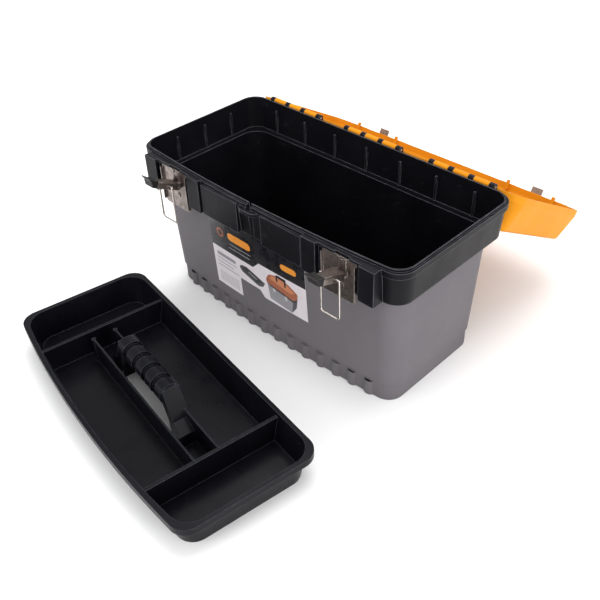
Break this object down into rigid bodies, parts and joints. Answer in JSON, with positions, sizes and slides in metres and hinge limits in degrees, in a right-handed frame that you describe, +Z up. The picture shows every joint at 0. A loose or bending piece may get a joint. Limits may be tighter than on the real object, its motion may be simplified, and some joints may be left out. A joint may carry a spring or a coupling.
{
  "type": "toolbox with tray",
  "caption": "Portable plastic toolbox with a hinged orange lid, steel draw latches with wire bails, and a lift-out tray with dividers and a lobed handle.",
  "frame": {"origin": "on the floor under the middle of the box", "axes": "+X along the hinge to the right as seen from the latches, +Y towards the hinge side, +Z up"},
  "size_m": [0.4186, 0.6464, 0.2015],
  "materials": {
    "box_plastic": "fine-grained black polypropylene",
    "tray_plastic": "satin black polypropylene",
    "lid_plastic": "satin orange polypropylene",
    "handle_plastic": "satin black",
    "cap_plastic": "moulded black",
    "latch_steel": "nickel-plated pressed steel",
    "wire_steel": "bright nickel-plated wire",
    "keeper_steel": "dull plated steel",
    "pin_steel": "plain steel",
    "label": "printed film"
  },
  "bodies": {
    "base": {"base_shell": "box_plastic", "hinge_pin_left": "pin_steel", "hinge_pin_middle": "pin_steel", "hinge_pin_right": "pin_steel", "latch_plate_left": "latch_steel", "latch_plate_right": "latch_steel", "plate_rivets": "latch_steel", "lever_pin_left": "pin_steel", "lever_pin_right": "pin_steel", "front_label": "label"},
    "lid": {"lid_shell": "lid_plastic", "keeper_left": "keeper_steel", "keeper_right": "keeper_steel", "keeper_rivets": "keeper_steel", "handle_pins": "pin_steel"},
    "lid_handle": {"lid_handle": "handle_plastic"},
    "lever_left": {"latch_lever_left": "latch_steel", "lever_cap_left": "cap_plastic"},
    "lever_right": {"latch_lever_right": "latch_steel", "lever_cap_right": "cap_plastic"},
    "bail_left": {"bail_left": "wire_steel"},
    "bail_right": {"bail_right": "wire_steel"},
    "tray": {"tray": "tray_plastic"}
  },
  "joints": [
    {"name": "lid_hinge", "type": "hinge", "parent": "base", "child": "lid", "pos_m": [0, 0.1012, 0.1969], "axis": [1, 0, 0], "range_deg": [0, 210]},
    {"name": "lid_handle_pivot", "type": "hinge", "parent": "lid", "child": "lid_handle", "pos_m": [0, 0.15587, 0.12319], "axis": [1, 0, 0], "range_deg": [-30, 60]},
    {"name": "left_lever_pivot", "type": "hinge", "parent": "base", "child": "lever_left", "pos_m": [-0.127, -0.1087, 0.175], "axis": [1, 0, 0], "range_deg": [0, 116]},
    {"name": "left_bail_pivot", "type": "hinge", "parent": "lever_left", "child": "bail_left", "pos_m": [-0.127, -0.12129, 0.18114], "axis": [1, 0, 0], "range_deg": [-296, 0]},
    {"name": "right_lever_pivot", "type": "hinge", "parent": "base", "child": "lever_right", "pos_m": [0.135, -0.1087, 0.175], "axis": [1, 0, 0], "range_deg": [-10, 106]},
    {"name": "right_bail_pivot", "type": "hinge", "parent": "lever_right", "child": "bail_right", "pos_m": [0.135, -0.12216, 0.17886], "axis": [1, 0, 0], "range_deg": [-286, 27]},
    {"name": "tray_lift", "type": "slide", "parent": "base", "child": "tray", "axis": [0, 0, 1], "range_m": [0, 0.12]}
  ],
  "couplings": [
    {"joint": "left_bail_pivot", "follows": "left_lever_pivot", "ratio": -2.5517},
    {"joint": "right_bail_pivot", "follows": "right_lever_pivot", "ratio": -2.6981}
  ]
}
